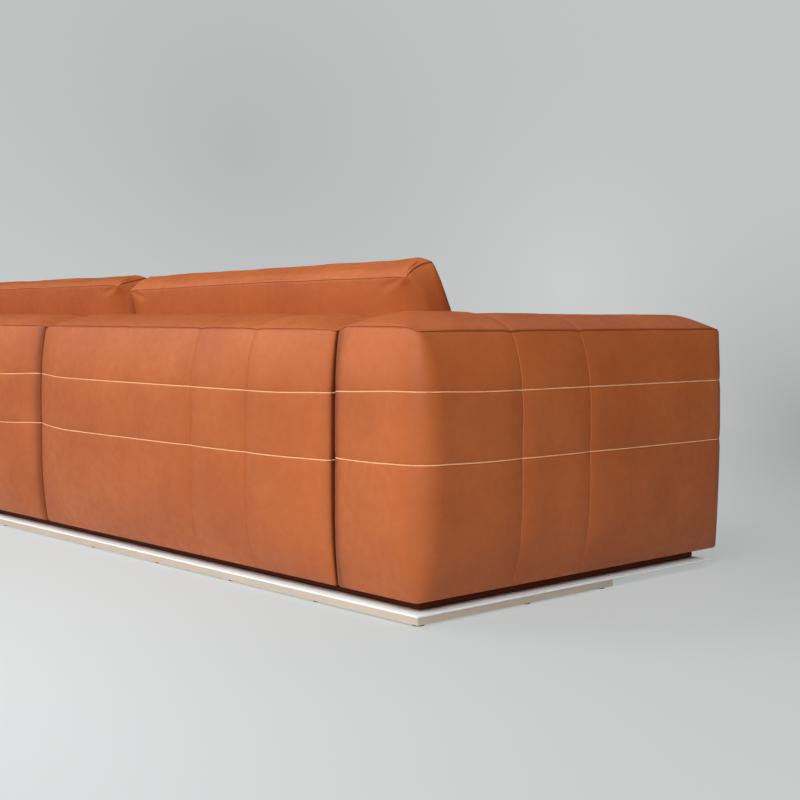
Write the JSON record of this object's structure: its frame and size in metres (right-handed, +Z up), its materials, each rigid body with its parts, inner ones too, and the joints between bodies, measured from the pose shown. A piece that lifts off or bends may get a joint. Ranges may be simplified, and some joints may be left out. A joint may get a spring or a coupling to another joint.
{
  "type": "sofa",
  "caption": "Low two-seat sofa with padded leather arms and back, loose seat and back cushions, and a flat recessed metal base.",
  "frame": {"origin": "middle of the sofa's bounding box, on the floor", "axes": "+X along the sofa to the left arm as seated, +Y to the rear, +Z up"},
  "size_m": [3.166, 1.098, 0.7599],
  "materials": {
    "leather_tan": "satin",
    "stainless": "satin",
    "plinth_wood": "satin",
    "glide_plastic": "matte",
    "zinc_steel": "satin",
    "hardwood": "matte",
    "plywood": "matte",
    "webbing": "matte",
    "foam": "matte",
    "dust_fabric": "matte",
    "lining": "matte"
  },
  "bodies": {
    "root": {"base_plate_rear": "stainless", "base_plate_front": "stainless", "base_plate_right": "stainless", "base_plate_left": "stainless", "base_rail_rear": "stainless", "base_rail_front": "stainless", "base_rail_right": "stainless", "base_rail_left": "stainless", "glides": "glide_plastic", "plinth_rear": "plinth_wood", "plinth_front": "plinth_wood", "plinth_right": "plinth_wood", "plinth_left": "plinth_wood", "base_screws": "zinc_steel", "seat_frame_front_rail": "hardwood", "seat_frame_rear_rail": "hardwood", "seat_frame_end_right": "hardwood", "seat_frame_end_left": "hardwood", "seat_frame_cross_members": "hardwood", "seat_frame_corner_blocks": "hardwood", "webbing_cross": "webbing", "webbing_long": "webbing", "seat_base_foam": "foam", "seat_base_cover": "leather_tan", "dust_cover": "dust_fabric", "connector_plates": "zinc_steel", "connector_screws": "zinc_steel", "arm_frame_right": "plywood", "arm_frame_left": "plywood", "arm_foam_right": "foam", "arm_foam_left": "foam", "arm_cover_right": "leather_tan", "arm_cover_left": "leather_tan", "back_frame_right": "plywood", "back_frame_left": "plywood", "back_foam_right": "foam", "back_foam_left": "foam", "back_cover_right": "leather_tan", "back_cover_left": "leather_tan"},
    "seat_cushion_right": {"seat_cushion_cover_right": "leather_tan", "seat_cushion_core_right": "foam", "seat_cushion_underside_right": "lining"},
    "back_cushion_right": {"back_cushion_cover_right": "leather_tan", "back_cushion_fill_right": "foam", "back_cushion_underside_right": "lining"},
    "seat_cushion_left": {"seat_cushion_cover_left": "leather_tan", "seat_cushion_core_left": "foam", "seat_cushion_underside_left": "lining"},
    "back_cushion_left": {"back_cushion_cover_left": "leather_tan", "back_cushion_fill_left": "foam", "back_cushion_underside_left": "lining"}
  },
  "joints": [
    {"name": "seat_cushion_right_lift", "type": "slide", "parent": "root", "child": "seat_cushion_right", "axis": [0, 0, 1], "range_m": [0, 0.45]},
    {"name": "back_cushion_right_lift", "type": "slide", "parent": "seat_cushion_right", "child": "back_cushion_right", "axis": [0, 0, 1], "range_m": [0, 0.35]},
    {"name": "seat_cushion_left_lift", "type": "slide", "parent": "root", "child": "seat_cushion_left", "axis": [0, 0, 1], "range_m": [0, 0.45]},
    {"name": "back_cushion_left_lift", "type": "slide", "parent": "seat_cushion_left", "child": "back_cushion_left", "axis": [0, 0, 1], "range_m": [0, 0.35]}
  ]
}
